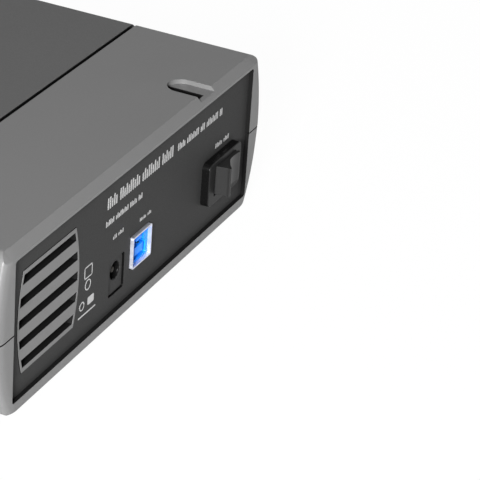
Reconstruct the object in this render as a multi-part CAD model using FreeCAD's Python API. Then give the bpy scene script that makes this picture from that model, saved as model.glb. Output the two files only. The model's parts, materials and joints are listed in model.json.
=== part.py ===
# Desktop enclosure for one 5.25 inch drive: two moulded half shells, a dark panel let into the top,
# a recessed rear panel with sockets, switch, louvred vent and fan, and a sheet metal drive tray.
# Millimetres. +Z is up, +Y points out of the rear, -Y out of the open front.
# The origin is the centre of the bounding box's base, on the surface that the feet stand on.

import math
import os

import FreeCAD
import Part
from FreeCAD import Vector

os.makedirs("parts", exist_ok=True)

# Drive and the tray that holds it
drive_width = 146.1
drive_height = 41.3
drive_side_play = 0.25
drive_bottom_hole_x = 139.7
drive_hole_pitch = 79.25
drive_first_hole = 52.3
drive_side_hole_z = 10.0
drive_hole_radius = 1.7
bay_side_clearance = 1.45
bay_top_clearance = 1.1
bay_sill_drop = 0.5
tray_thickness = 1.0
tray_length = 178.0
tray_start = 8.0
tray_side_height = 26.0
tray_boss_height = 1.5
tray_boss_radius = 4.0
tray_bend_radius = 1.5
tray_screw_x = 40.0
tray_screw_inset = 14.0
access_hole_radius = 4.0
tray_window_margin = 6.0
tray_window_radius = 6.0

# Shell, which takes its size from the drive
wall = 2.0
cheek = 10.5
roof = 7.2
tray_to_rear = 48.0
bezel_thickness = 6.0
bay_width = drive_width + 2 * bay_side_clearance
bay_height = drive_height + bay_top_clearance
bay_floor_rise = wall + tray_boss_height + tray_thickness
shell_width = bay_width + 2 * cheek
shell_depth = bezel_thickness + tray_start + tray_length + tray_to_rear
shell_height = bay_floor_rise - bay_sill_drop + bay_height + roof
foot_height = 2.0
seam_above_bottom = 26.4
seam_step = 0.5
seam_groove_height = 0.5
seam_groove_depth = 0.6
upper_bow_radius = 80.0
lower_bow_radius = 52.0
upper_corner_radius = 4.0
lower_corner_radius = 3.0
rear_edge_radius = 1.2
rear_bevel_drop = 2.6
rear_bevel_depth = 2.5
slide_clearance = 0.2
least_corner = 0.3
tongue_thickness = 1.0
tongue_height = 2.5
tongue_root = 3.0

# Rear opening and the panel behind it
side_rim = 8.8
bottom_lip = 3.9
top_lip = 3.5
opening_width = shell_width - 2 * side_rim
opening_height = shell_height - bottom_lip - top_lip
lip_thickness = 1.5
opening_corner_radius = 1.0
panel_thickness = 2.0
retaining_rib = 1.2

# Dark panel in the top
rear_band = 45.7
front_band = 16.0
inlay_thickness = 1.2
inlay_gap = 1.3
inlay_side_drop = 7.0
inlay_edge_radius = 0.5

# Scooped recess near the rear corner of the top
scoop_from_side = 40.5
scoop_x = scoop_from_side - shell_width / 2
scoop_width = 9.6
scoop_length = 15.0
scoop_depth = 1.5
scoop_backing = 1.0

# Vent in the rear panel
vent_inset = 22.0
vent_x = opening_width / 2 - vent_inset
vent_half_width = 17.9
vent_half_width_at_end = 15.2
vent_height = 33.5
slot_count = 5
slot_height = 2.95
slot_pitch = 6.85
vent_frame = 0.9
grille_thickness = 2.4
grille_proud = 0.2
grille_fit = 0.15
grille_flange = 1.6
grille_flange_thickness = 0.8

# Sockets
board_top_above_bottom = 9.4
board_thickness = 1.6
dc_from_board_end = 15.4
dc_width = 9.0
dc_height = 11.5
dc_depth = 14.0
dc_setback = 0.5
dc_hole_radius = 2.8
dc_hole_depth = 9.5
dc_axis_above_board = 7.2
dc_pin_radius = 1.05
socket_pitch = 14.8
usb_width = 12.4
usb_height = 10.9
usb_lift = 3.5
usb_depth = 18.0
usb_proud = 0.9
usb_shell_wall = 0.5
usb_cavity_depth = 9.0
usb_insert_setback = 0.6
usb_mouth_low = 1.4
usb_mouth_step = 6.7
usb_mouth_top = 9.5
usb_mouth_width = 8.44
usb_mouth_neck = 5.6
usb_tongue_low = 2.7
usb_tongue_height = 2.9
usb_tongue_width = 5.6
usb_upper_low = 7.4
usb_upper_height = 1.2
usb_upper_width = 3.8
usb_contact_pitch = 2.5
usb_upper_contacts = 5
usb_upper_pitch = 0.75
contact_thickness = 0.12
window_clearance = 0.3
window_corner_radius = 0.8

# Switch: a flange stands out from the panel round the rocker
switch_inset = 20.0
switch_x = switch_inset - opening_width / 2
flange_centre_above_bottom = 20.6
flange_width = 23.2
flange_height = 15.4
flange_proud = 2.8
flange_corner_radius = 2.2
flange_edge_radius = 0.4
rocker_raise = 0.5
well_width = 15.1
well_wall = 1.0
rocker_reach = 7.4
rocker_height = 10.0
rocker_tip_height = 5.5
rocker_centre_height = 3.2
rocker_hollow = 0.4
rocker_tip_radius = 0.45
rocker_tip_loss = 0.64
rocker_waist = 6.7
rocker_waist_height = 3.6
rocker_shoulder_depth = 0.6
rocker_foot = 3.8
rocker_foot_depth = 2.6
rocker_tilt = 14.0
rocker_clearance = 0.3
rocker_pivot_depth = 1.8
rocker_pin_radius = 0.9
rocker_pin_reach = 0.35
rocker_pin_clearance = 0.05
switch_body_depth = 13.0
latch_reach = 0.9
latch_length = 4.0
latch_height = 4.0
terminal_pitch = 4.7
terminal_width = 2.8
terminal_thickness = 0.8
terminal_length = 6.0

# Fan
fan_size = 40.0
fan_depth = 10.0
fan_x = vent_x
fan_gap = 0.4
fan_bore_radius = 18.9
fan_tip_clearance = 0.8
fan_hub_radius = 11.0
fan_hub_wall = 1.2
fan_blades = 7
fan_blade_thickness = 1.0
fan_blade_twist = 38.0
fan_hole_pitch = 32.0
fan_hole_radius = 1.7
fan_post_wall = 1.2
fan_post_arm = 5.0
fan_hook = 2.2
fan_hook_thickness = 1.2
fan_shaft_radius = 1.0
fan_shaft_clearance = 0.04
fan_boss_radius = 9.0
fan_bearing_radius = 2.2
fan_strut_width = 2.4
fan_strut_thickness = 1.6

# Front bezel
bezel_set_in = 0.2
bezel_edge_radius = 1.5
spigot_length = 5.0
spigot_thickness = 1.2
light_inset = 23.0
light_x = shell_width / 2 - light_inset
light_width = 8.0
light_height = 1.8
light_drop = 1.2

# Board and its parts
board_vent_gap = 26.6
board_switch_reach = 10.1
board_left = vent_x - board_vent_gap
board_right = switch_x - board_switch_reach
dc_x = board_left - dc_from_board_end
usb_x = dc_x - socket_pitch
board_depth = 36.0
board_setback = 0.8
board_boss_radius = 3.2
board_screw_inset = 3.6
sata_x = -20.0
sata_width = 42.0
sata_depth = 8.5
sata_height = 6.4
sata_cavity = 5.0
sata_pitch = 1.27
sata_signal_x = -15.6
sata_signal_count = 7
sata_power_x = -0.9
sata_power_count = 15
bridge_chip_from_socket = 14.0
bridge_chip_side = 10.0
bridge_chip_height = 1.5
small_chip_side = 5.0
small_chip_height = 1.3
power_chip_from_end = 8.5
second_chip_from_end = 27.0
capacitor_radius = 3.15
capacitor_height = 8.0
capacitor_from_end = 24.0
capacitor_pitch = 7.2
inductor_side = 6.0
inductor_height = 3.0
inductor_from_end = 19.0
inductor_pitch = 8.5

# Fasteners and feet
screw_radius = 1.5
screw_clearance = 0.2
thread_clearance = 0.02
head_radius = 2.8
head_height = 1.8
screw_bite = 5.0
boss_gap = 0.2
boss_root = 0.5
case_boss_radius = 4.4
case_head_depth = 12.0
tray_head_depth = 1.9
case_screw_side = 13.0
case_screw_x = shell_width / 2 - case_screw_side
case_screw_from_rear = 27.0
foot_radius = 7.0
foot_recess = 0.6
foot_side = 27.0
foot_x = shell_width / 2 - foot_side
foot_inset = 24.0

# Vent slots under the bottom
floor_slot_count = 7
floor_slot_length = 40.0
floor_slot_width = 3.0
floor_slot_pitch = 7.0

# Worked-out planes along Y
rocker_lean = math.radians(rocker_tilt)
rocker_tip_rise = rocker_reach * math.sin(rocker_lean) + rocker_tip_height * math.cos(rocker_lean)
rocker_proud = flange_proud + rocker_tip_rise - rocker_tip_loss - rocker_pivot_depth
beyond_rear = rocker_proud - lip_thickness
rear_y = (shell_depth - beyond_rear) / 2
front_y = rear_y - shell_depth
panel_face_y = rear_y - lip_thickness
panel_back_y = panel_face_y - panel_thickness
cover_front_y = front_y + bezel_thickness
inlay_rear_y = rear_y - rear_band
inlay_front_y = cover_front_y + front_band

# Worked-out planes along Z
bottom_z = foot_height
top_z = bottom_z + shell_height
seam_z = bottom_z + seam_above_bottom
floor_z = bottom_z + wall
opening_z0 = bottom_z + bottom_lip
opening_z1 = opening_z0 + opening_height
opening_centre_z = (opening_z0 + opening_z1) / 2
vent_z = opening_centre_z
board_top_z = bottom_z + board_top_above_bottom
board_bottom_z = board_top_z - board_thickness
tray_bottom_z = floor_z + tray_boss_height
bay_floor_z = bottom_z + bay_floor_rise
bay_z0 = bay_floor_z - bay_sill_drop
usb_bottom_z = board_top_z + usb_lift
flange_y = panel_face_y + flange_proud
pivot_y = flange_y - rocker_pivot_depth
switch_back_y = panel_back_y - switch_body_depth
terminal_y = switch_back_y - terminal_length
fan_back_y = panel_back_y - grille_flange_thickness - fan_gap
fan_front_y = fan_back_y - fan_depth
pilot_radius = screw_radius + thread_clearance
boss_meet_z = seam_z + 0.8
light_z = (bay_z0 + bay_height + top_z) / 2 - light_drop
flange_z = bottom_z + flange_centre_above_bottom
switch_z = flange_z + rocker_raise
body_half_width = well_width / 2 + well_wall
body_half_height = rocker_height / 2 + rocker_clearance + well_wall
fan_z = opening_centre_z
far_x = shell_width


def box(x0, x1, y0, y1, z0, z1):
    return Part.makeBox(x1 - x0, y1 - y0, z1 - z0, Vector(x0, y0, z0))


def rod(radius, start, direction, length):
    return Part.makeCylinder(radius, length, Vector(*start), Vector(*direction))


def joined(shapes):
    first = shapes[0]
    if len(shapes) == 1:
        return first
    return first.fuse(shapes[1:]).removeSplitter()


def mirrored_x(shape):
    return shape.mirror(Vector(0, 0, 0), Vector(1, 0, 0))


def save(name, shapes):
    solid = shapes if isinstance(shapes, Part.Shape) else Part.makeCompound(shapes)
    solid.exportStep(os.path.join("parts", name + ".step"))
    print(name, "solids", len(solid.Solids), "volume", round(solid.Volume, 2), solid.isValid())


def arc(a, b, c):
    return Part.Arc(a, b, c).toShape()


def line(a, b):
    return Part.LineSegment(a, b).toShape()


def prism_y(edges, y0, y1):
    face = Part.Face(Part.Wire(edges))
    return face.extrude(Vector(0, y1 - y0, 0))


# Half shell section. The side is one arc that stands upright at the seam, and a corner arc
# tangent to it leads into the flat top or bottom. An inset keeps both arcs concentric, and one
# deeper than the corner radius meets the flat in a plain corner.
def half_section(upward, inset, y):
    sign = 1 if upward else -1
    bow = upper_bow_radius if upward else lower_bow_radius
    corner = upper_corner_radius if upward else lower_corner_radius
    half = shell_width / 2 - (0 if upward else seam_step)
    rise = (top_z - seam_z) if upward else (seam_z - bottom_z)
    bow_x = half - bow
    corner_dz = rise - corner
    corner_dx = math.sqrt((bow - corner) ** 2 - corner_dz**2)
    radius = bow - inset
    small = corner - inset
    has_corner = small > least_corner
    lean = math.atan2(corner_dz, corner_dx) if has_corner else math.asin((rise - inset) / radius)

    def on_bow(angle):
        return Vector(bow_x + radius * math.cos(angle), y, seam_z + sign * radius * math.sin(angle))

    def on_corner(angle):
        x = bow_x + corner_dx + small * math.cos(angle)
        return Vector(x, y, seam_z + sign * (corner_dz + small * math.sin(angle)))

    right = [on_bow(0), on_bow(lean / 2), on_bow(lean)]
    if has_corner:
        right += [on_corner((lean + math.pi / 2) / 2), on_corner(math.pi / 2)]
    left = [Vector(-p.x, p.y, p.z) for p in right]
    edges = [line(left[0], right[0])]
    for i in range(0, len(right) - 1, 2):
        edges.append(arc(right[i], right[i + 1], right[i + 2]))
    edges.append(line(right[-1], left[-1]))
    for i in range(len(left) - 1, 0, -2):
        edges.append(arc(left[i], left[i - 1], left[i - 2]))
    return edges


def half_solid(upward, inset, y0, y1):
    return prism_y(half_section(upward, inset, y0), y0, y1)


def whole_solid(inset, y0, y1):
    return joined([half_solid(True, inset, y0, y1), half_solid(False, inset, y0, y1)])


def rounded_block(x0, x1, y0, y1, z0, z1, radius):
    block = box(x0, x1, y0, y1, z0, z1)
    edges = [e for e in block.Edges if abs(e.Vertexes[0].Y - e.Vertexes[1].Y) > 1e-6]
    return block.makeFillet(radius, edges)


def rear_opening(y0, y1):
    half = opening_width / 2
    return rounded_block(-half, half, y0, y1, opening_z0, opening_z1, opening_corner_radius)


# Outer form of each half: the rear edge is rounded, and the top edge there has a wide bevel.
def outer_half(upward):
    solid = half_solid(upward, 0, cover_front_y, rear_y)
    if upward:
        far = far_x
        wedge = Part.Face(
            Part.makePolygon(
                [
                    Vector(-far, rear_y - rear_bevel_depth, top_z),
                    Vector(-far, rear_y, top_z - rear_bevel_drop),
                    Vector(-far, rear_y + 5, top_z - rear_bevel_drop),
                    Vector(-far, rear_y + 5, top_z + 5),
                    Vector(-far, rear_y - rear_bevel_depth, top_z + 5),
                    Vector(-far, rear_y - rear_bevel_depth, top_z),
                ]
            )
        ).extrude(Vector(2 * far, 0, 0))
        solid = solid.cut(wedge)

    def on_rear_side(edge):
        centre = edge.CenterOfMass
        at_rear = all(abs(v.Y - rear_y) < 1e-4 for v in edge.Vertexes)
        on_seam = all(abs(v.Z - seam_z) < 1e-4 for v in edge.Vertexes)
        on_top = upward and abs(centre.x) < 1
        return at_rear and not on_seam and not on_top

    return solid.makeFillet(rear_edge_radius, [e for e in solid.Edges if on_rear_side(e)])


def shell_half(upward):
    solid = outer_half(upward)
    hollow = half_solid(upward, wall, cover_front_y - 1, panel_face_y)
    shell = solid.cut([hollow, rear_opening(panel_face_y - 1, rear_y + 1)])
    rib_y = panel_back_y - slide_clearance / 2 - retaining_rib
    rib = half_solid(upward, wall - 0.5, rib_y, rib_y + retaining_rib)
    rib = rib.cut(half_solid(upward, wall + 1.4 if upward else wall + 0.9, rib_y - 1, rib_y + 3))
    if upward:
        low = seam_z - 1
        rib = rib.cut(box(-far_x, far_x, rib_y - 1, rib_y + 3, low, seam_z + tongue_height + 1))
    return joined([shell, rib])


def arch_outline(x, y_base, y_tip, width, z0, z1):
    radius = width / 2
    block = box(x - radius, x + radius, y_tip + radius, y_base, z0, z1)
    end = Part.makeCylinder(radius, z1 - z0, Vector(x, y_tip + radius, z0))
    return joined([block, end])


def scoop_cut():
    tool = arch_outline(
        scoop_x,
        rear_y - rear_bevel_depth / 3,
        rear_y - scoop_length,
        scoop_width,
        top_z - scoop_depth,
        top_z + 2,
    )
    return tool


def inlay_zone(extra):
    low = top_z - inlay_side_drop - extra
    return box(-far_x, far_x, inlay_front_y - extra, inlay_rear_y + extra, low, top_z + 5)


# Thickening under the scoop, which would leave the roof too thin without it.
def scoop_pad():
    y_base = panel_back_y - slide_clearance / 2 - retaining_rib
    y_tip = rear_y - scoop_length - scoop_backing
    z1 = top_z - wall
    width = scoop_width + 2 * scoop_backing
    return arch_outline(scoop_x, y_base, y_tip, width, z1 - scoop_backing, z1 + 0.3)


# Shadow line along the foot of the upper half: it runs round the sides and the rear face.
def seam_groove():
    ring = half_solid(True, -1, cover_front_y - 1, rear_y + 1)
    ring = ring.cut(half_solid(True, seam_groove_depth, cover_front_y - 2, rear_y - seam_groove_depth))
    return ring.common(
        box(-far_x, far_x, cover_front_y - 1, rear_y + 1, seam_z - 1, seam_z + seam_groove_height)
    )


def make_top_cover():
    cover = joined([shell_half(True), scoop_pad()])
    skin = half_solid(True, -1, cover_front_y - 1, rear_y).cut(
        half_solid(True, inlay_thickness, cover_front_y - 2, rear_y + 1)
    )
    cover = cover.cut([skin.common(inlay_zone(inlay_gap)), scoop_cut(), seam_groove()])
    bosses = []
    for x in (case_screw_x, -case_screw_x):
        y = rear_y - case_screw_from_rear
        foot_z = boss_meet_z + boss_gap
        bosses.append(rod(case_boss_radius, (x, y, foot_z), (0, 0, 1), top_z - wall / 2 - foot_z))
    cover = joined([cover] + bosses)
    pilots = []
    for x in (case_screw_x, -case_screw_x):
        y = rear_y - case_screw_from_rear
        deep = boss_meet_z + screw_bite + 1 - seam_z
        pilots.append(rod(pilot_radius, (x, y, seam_z), (0, 0, 1), deep))
    return cover.cut(pilots)


def make_top_inlay():
    skin = half_solid(True, 0, inlay_front_y, inlay_rear_y)
    skin = skin.cut(half_solid(True, inlay_thickness, inlay_front_y - 1, inlay_rear_y + 1))
    panel = skin.common(inlay_zone(0))

    def on_outer_end(edge):
        at_end = any(
            all(abs(v.Y - y) < 1e-4 for v in edge.Vertexes) for y in (inlay_front_y, inlay_rear_y)
        )
        long_top = edge.Length > 100 and abs(edge.CenterOfMass.z - top_z) < 1e-3
        return at_end and long_top

    edges = [e for e in panel.Edges if on_outer_end(e)]
    return panel.makeFillet(inlay_edge_radius, edges)


def tray_screw_places():
    y0 = cover_front_y + tray_start + tray_screw_inset
    y1 = cover_front_y + tray_start + tray_length - tray_screw_inset
    return [(x, y) for x in (tray_screw_x, -tray_screw_x) for y in (y0, y1)]


def board_screw_places():
    y0 = panel_back_y - board_setback - board_screw_inset
    y1 = panel_back_y - board_setback - board_depth + board_screw_inset
    xs = (board_left - board_screw_inset, board_right + board_screw_inset)
    return [(x, y) for x in xs for y in (y0, y1)]


def case_screw_places():
    y = rear_y - case_screw_from_rear
    return [(case_screw_x, y), (-case_screw_x, y)]


def foot_places():
    return [
        (x, y) for x in (foot_x, -foot_x) for y in (front_y + foot_inset, rear_y - foot_inset)
    ]


def drive_hole_rows():
    first = front_y + drive_first_hole
    return (first, first + drive_hole_pitch)


def floor_slots():
    middle_y = sum(drive_hole_rows()) / 2
    slots = []
    for i in range(floor_slot_count):
        y = middle_y + (i - (floor_slot_count - 1) / 2) * floor_slot_pitch
        half = floor_slot_length / 2
        radius = floor_slot_width / 2
        block = box(-half, half, y - radius, y + radius, bottom_z - 1, floor_z + 1)
        ends = [rod(radius, (x, y, bottom_z - 1), (0, 0, 1), wall + 2) for x in (-half, half)]
        slots.append(joined([block] + ends))
    return slots


def make_bottom_cover():
    cover = shell_half(False)
    tongue_y0 = cover_front_y + spigot_length + 3
    tongue_y1 = panel_back_y - retaining_rib - 2
    outside = wall + slide_clearance
    low = half_solid(False, wall - 0.2, tongue_y0, tongue_y1)
    root_inner = half_solid(True, outside + tongue_thickness, tongue_y0 - 1, tongue_y1 + 1)
    stem = half_solid(True, outside, tongue_y0, tongue_y1).cut(root_inner)
    stem = stem.common(
        box(-far_x, far_x, tongue_y0, tongue_y1, seam_z - 1, seam_z + tongue_height)
    )
    inner = half_solid(False, outside + tongue_thickness - seam_step, tongue_y0 - 1, tongue_y1 + 1)
    root = low.cut(inner).common(
        box(-far_x, far_x, tongue_y0, tongue_y1, seam_z - tongue_root, seam_z)
    )
    added = [root, stem]
    for x, y in tray_screw_places():
        rise = tray_boss_height + boss_root
        added.append(rod(tray_boss_radius, (x, y, floor_z - boss_root), (0, 0, 1), rise))
    for x, y in board_screw_places():
        rise = board_bottom_z - floor_z + boss_root
        added.append(rod(board_boss_radius, (x, y, floor_z - boss_root), (0, 0, 1), rise))
    for x, y in case_screw_places():
        rise = boss_meet_z - floor_z + boss_root
        added.append(rod(case_boss_radius, (x, y, floor_z - boss_root), (0, 0, 1), rise))
    cover = joined([cover] + added)
    cuts = floor_slots()
    shank_hole = screw_radius + screw_clearance
    head_hole = head_radius + screw_clearance
    for x, y in tray_screw_places():
        cuts.append(rod(shank_hole, (x, y, bottom_z - 1), (0, 0, 1), bay_floor_rise + 1))
        cuts.append(rod(head_hole, (x, y, bottom_z - 1), (0, 0, 1), 1 + tray_head_depth))
    for x, y in board_screw_places():
        low = board_bottom_z - screw_bite - 0.5
        cuts.append(rod(pilot_radius, (x, y, low), (0, 0, 1), board_bottom_z + 1 - low))
    for x, y in case_screw_places():
        cuts.append(rod(shank_hole, (x, y, bottom_z - 1), (0, 0, 1), boss_meet_z - bottom_z + 2))
        cuts.append(rod(head_hole, (x, y, bottom_z - 1), (0, 0, 1), 1 + case_head_depth))
    for x, y in foot_places():
        seat = foot_radius + slide_clearance
        cuts.append(rod(seat, (x, y, bottom_z - 1), (0, 0, 1), 1 + foot_recess))
    for x in (drive_bottom_hole_x / 2, -drive_bottom_hole_x / 2):
        for y in drive_hole_rows():
            cuts.append(rod(access_hole_radius, (x, y, bottom_z - 1), (0, 0, 1), wall + 2))
    return cover.cut(cuts)


# Vent outline: straight top and bottom, both sides bowed outwards, grown by a margin.
def vent_outline(margin, y0, y1):
    half_top = vent_half_width_at_end + margin
    half_mid = vent_half_width + margin
    z0 = vent_z - vent_height / 2 - margin
    z1 = vent_z + vent_height / 2 + margin
    x = vent_x
    z = vent_z
    a = Vector(x + half_top, y0, z0)
    b = Vector(x + half_top, y0, z1)
    c = Vector(x - half_top, y0, z1)
    d = Vector(x - half_top, y0, z0)
    edges = [
        arc(a, Vector(x + half_mid, y0, z), b),
        line(b, c),
        arc(c, Vector(x - half_mid, y0, z), d),
        line(d, a),
    ]
    return prism_y(edges, y0, y1)


# Posts on the inside of the panel hold the fan at its four corners, and end in a hook each.
def fan_posts():
    posts = []
    half = fan_size / 2 + slide_clearance
    outer_half = half + fan_post_wall
    y1 = panel_back_y + 0.3
    y0 = fan_front_y - slide_clearance - fan_hook_thickness
    outer = box(half - fan_post_arm, outer_half, y0, y1, half - fan_post_arm, outer_half)
    inner = box(-1, half, y0 - 1, y1 + 1, -1, half)
    hook_low = half - fan_hook
    hook = box(hook_low, outer_half, y0, y0 + fan_hook_thickness, hook_low, outer_half)
    corner = joined([outer.cut(inner), hook])
    for flip_x in (False, True):
        for flip_z in (False, True):
            post = corner.copy()
            if flip_x:
                post = mirrored_x(post)
            if flip_z:
                post = post.mirror(Vector(0, 0, 0), Vector(0, 0, 1))
            post.translate(Vector(fan_x, 0, fan_z))
            posts.append(post)
    return posts


def dc_axis_z():
    return board_top_z + dc_axis_above_board


def usb_axis_z():
    return usb_bottom_z + usb_height / 2


def make_rear_panel():
    inset = wall + slide_clearance
    y0 = panel_back_y - 1
    y1 = panel_face_y + 1
    plate = whole_solid(inset, panel_back_y, panel_face_y)
    limit = whole_solid(inset, fan_front_y - 5, y1)
    plate = joined([plate] + [p.common(limit) for p in fan_posts()])
    cuts = [vent_outline(0, y0, y1)]
    half = dc_width / 2 + window_clearance
    z = board_top_z + dc_height / 2
    tall = dc_height / 2 + window_clearance
    cuts.append(
        rounded_block(dc_x - half, dc_x + half, y0, y1, z - tall, z + tall, window_corner_radius)
    )
    half = usb_width / 2 + window_clearance
    tall = usb_height / 2 + window_clearance
    z = usb_axis_z()
    cuts.append(
        rounded_block(usb_x - half, usb_x + half, y0, y1, z - tall, z + tall, window_corner_radius)
    )
    half = body_half_width + slide_clearance
    tall = body_half_height + slide_clearance
    cuts.append(box(switch_x - half, switch_x + half, y0, y1, switch_z - tall, switch_z + tall))
    return plate.cut(cuts)


def slot_outline(index, y0, y1):
    z = vent_z + (index - (slot_count - 1) / 2) * slot_pitch
    band = box(vent_x - far_x, vent_x + far_x, y0, y1, z - slot_height / 2, z + slot_height / 2)
    return vent_outline(-vent_frame, y0, y1).common(band)


def make_vent_grille():
    y1 = panel_face_y + grille_proud
    y0 = y1 - grille_thickness
    plug = vent_outline(-grille_fit, y0, y1)
    flange = vent_outline(grille_flange, panel_back_y - grille_flange_thickness, panel_back_y)
    grille = joined([plug, flange])
    return grille.cut([slot_outline(i, y0 - 1, y1 + 1) for i in range(slot_count)])


# Front bezel: a frame round the open bay, with a ring that slides into both covers.
def bezel_half(upward):
    body = half_solid(upward, bezel_set_in, front_y, cover_front_y)

    def front_edge(edge):
        at_front = all(abs(v.Y - front_y) < 1e-4 for v in edge.Vertexes)
        on_seam = all(abs(v.Z - seam_z) < 1e-4 for v in edge.Vertexes)
        return at_front and not on_seam

    return body.makeFillet(bezel_edge_radius, [e for e in body.Edges if front_edge(e)])


def make_front_bezel():
    body = joined([bezel_half(True), bezel_half(False)])
    inset = wall + slide_clearance
    ring = whole_solid(inset, cover_front_y - 0.5, cover_front_y + spigot_length)
    ring_back = cover_front_y + spigot_length + 1
    ring = ring.cut(whole_solid(inset + spigot_thickness, cover_front_y - 1, ring_back))
    body = joined([body, ring])
    half = bay_width / 2
    bay = rounded_block(-half, half, front_y - 1, cover_front_y + 10, bay_z0, bay_z0 + bay_height, 1.0)
    light = box(
        light_x - light_width / 2, light_x + light_width / 2, front_y - 1, cover_front_y + 1,
        light_z - light_height / 2, light_z + light_height / 2,
    )
    return body.cut([bay, light])


def make_indicator_lens():
    half = light_width / 2 - 0.1
    tall = light_height / 2 - 0.1
    z = light_z
    bar = box(light_x - half, light_x + half, front_y, cover_front_y + 2, z - tall, z + tall)
    y1 = cover_front_y + 2
    stop = box(light_x - half - 1, light_x + half + 1, cover_front_y, y1, z - tall - 0.4, z + tall + 0.4)
    return joined([bar, stop])


def make_led_board():
    z = light_z
    y0 = cover_front_y + 2
    plate = box(light_x - 8, light_x + 8, y0 + 1.2, y0 + 2.4, z - 1.6, z + 1.3)
    led = box(light_x - 1.6, light_x + 1.6, y0, y0 + 1.2, z - 0.7, z + 0.7)
    return joined([plate, led])


def bend_edges(block, x, z):
    found = []
    for edge in block.Edges:
        along_y = abs(edge.Vertexes[0].Y - edge.Vertexes[-1].Y) > 1
        placed = all(abs(v.Z - z) < 1e-6 and abs(abs(v.X) - x) < 1e-6 for v in edge.Vertexes)
        if along_y and placed:
            found.append(edge)
    return found


# Folded tray: floor and two sides with a rounded bend, open at both ends.
def make_drive_tray():
    inner = drive_width / 2 + drive_side_play
    outer = inner + tray_thickness
    y0 = cover_front_y + tray_start
    y1 = y0 + tray_length
    z0 = tray_bottom_z
    z1 = z0 + tray_side_height
    block = box(-outer, outer, y0, y1, z0, z1)
    block = block.makeFillet(tray_bend_radius, bend_edges(block, outer, z0))
    hollow = box(-inner, inner, y0 - 1, y1 + 1, z0 + tray_thickness, z1 + 1)
    low_edges = bend_edges(hollow, inner, z0 + tray_thickness)
    hollow = hollow.makeFillet(tray_bend_radius - tray_thickness, low_edges)
    tray = block.cut(hollow)
    cuts = []
    for x in (drive_bottom_hole_x / 2, -drive_bottom_hole_x / 2):
        for y in drive_hole_rows():
            cuts.append(rod(drive_hole_radius, (x, y, z0 - 1), (0, 0, 1), 4))
    for y in drive_hole_rows():
        z = bay_floor_z + drive_side_hole_z
        cuts.append(rod(drive_hole_radius, (-outer - 1, y, z), (1, 0, 0), 2 * outer + 2))
    for x, y in tray_screw_places():
        cuts.append(rod(pilot_radius, (x, y, z0 - 1), (0, 0, 1), 4))
    half_x = floor_slot_length / 2 + tray_window_margin
    half_y = floor_slot_count * floor_slot_pitch / 2 + tray_window_margin
    middle = sum(drive_hole_rows()) / 2
    window = box(-half_x, half_x, middle - half_y, middle + half_y, z0 - 1, z0 + 3)
    upright = [e for e in window.Edges if abs(e.Vertexes[0].Z - e.Vertexes[1].Z) > 1]
    cuts.append(window.makeFillet(tray_window_radius, upright))
    return tray.cut(cuts)


# Pan head screw with a cross recess. The head's seat lies at z, and way is +1 where the
# shank points up.
def pan_screw(x, y, z, length, way):
    head = rod(head_radius, (x, y, z), (0, 0, -way), head_height)
    crown = z - way * head_height
    rim = [e for e in head.Edges if abs(e.CenterOfMass.z - crown) < 1e-6 and e.Length > 5]
    head = head.makeFillet(head_height * 0.45, rim)
    shank = rod(screw_radius, (x, y, z), (0, 0, way), length)
    tip = z + way * length
    end = [e for e in shank.Edges if abs(e.CenterOfMass.z - tip) < 1e-6 and e.Length > 5]
    shank = shank.makeChamfer(0.3, end)
    arm = head_radius * 0.55
    slot = 0.35
    z0, z1 = sorted((crown, crown + way * head_height / 2))
    cross = [
        box(x - arm, x + arm, y - slot, y + slot, z0, z1),
        box(x - slot, x + slot, y - arm, y + arm, z0, z1),
    ]
    return joined([head, shank]).cut(cross)


def make_board():
    y1 = panel_back_y - board_setback
    y0 = y1 - board_depth
    board = box(board_right, board_left, y0, y1, board_bottom_z, board_top_z)
    corners = [e for e in board.Edges if abs(e.Vertexes[0].Z - e.Vertexes[1].Z) > 1]
    board = board.makeFillet(1.5, corners)
    holes = []
    for x, y in board_screw_places():
        radius = screw_radius + screw_clearance
        holes.append(rod(radius, (x, y, board_bottom_z - 1), (0, 0, 1), board_thickness + 2))
    for i in (-1, 0, 1):
        x = switch_x + i * terminal_pitch
        half = terminal_width / 2 + 0.1
        thin = terminal_thickness / 2 + 0.1
        hole = box(
            x - half, x + half, terminal_y - thin, terminal_y + thin,
            board_bottom_z - 1, board_top_z + 1,
        )
        holes.append(hole)
    return board.cut(holes)


def make_dc_socket():
    z = dc_axis_z()
    y1 = panel_face_y - dc_setback
    y0 = y1 - dc_depth
    half = dc_width / 2
    body = box(dc_x - half, dc_x + half, y0 + 3.5, y1, board_top_z, board_top_z + dc_height)
    tail = box(dc_x - half, dc_x + half, y0, y0 + 3.5, board_top_z, board_top_z + dc_height * 0.55)
    shoulder = [
        e for e in body.Edges
        if all(abs(v.Z - board_top_z - dc_height) < 1e-6 for v in e.Vertexes)
        and abs(e.Vertexes[0].Y - e.Vertexes[1].Y) > 1
    ]
    body = body.makeFillet(1.6, shoulder)
    body = joined([body, tail])
    hole = rod(dc_hole_radius, (dc_x, y1 + 1, z), (0, -1, 0), dc_hole_depth + 1)
    mouth = Part.makeCone(
        dc_hole_radius + 0.5, dc_hole_radius, 0.5, Vector(dc_x, y1, z), Vector(0, -1, 0)
    )
    pin_length = dc_hole_depth - 0.8
    pin = rod(dc_pin_radius, (dc_x, y1 - dc_hole_depth, z), (0, 1, 0), pin_length)
    tip_y = y1 - dc_hole_depth + pin_length
    tip = [e for e in pin.Edges if abs(e.CenterOfMass.y - tip_y) < 1e-6 and e.Length > 3]
    pin = pin.makeFillet(0.5, tip)
    return body.cut([hole, mouth]), pin


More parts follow.
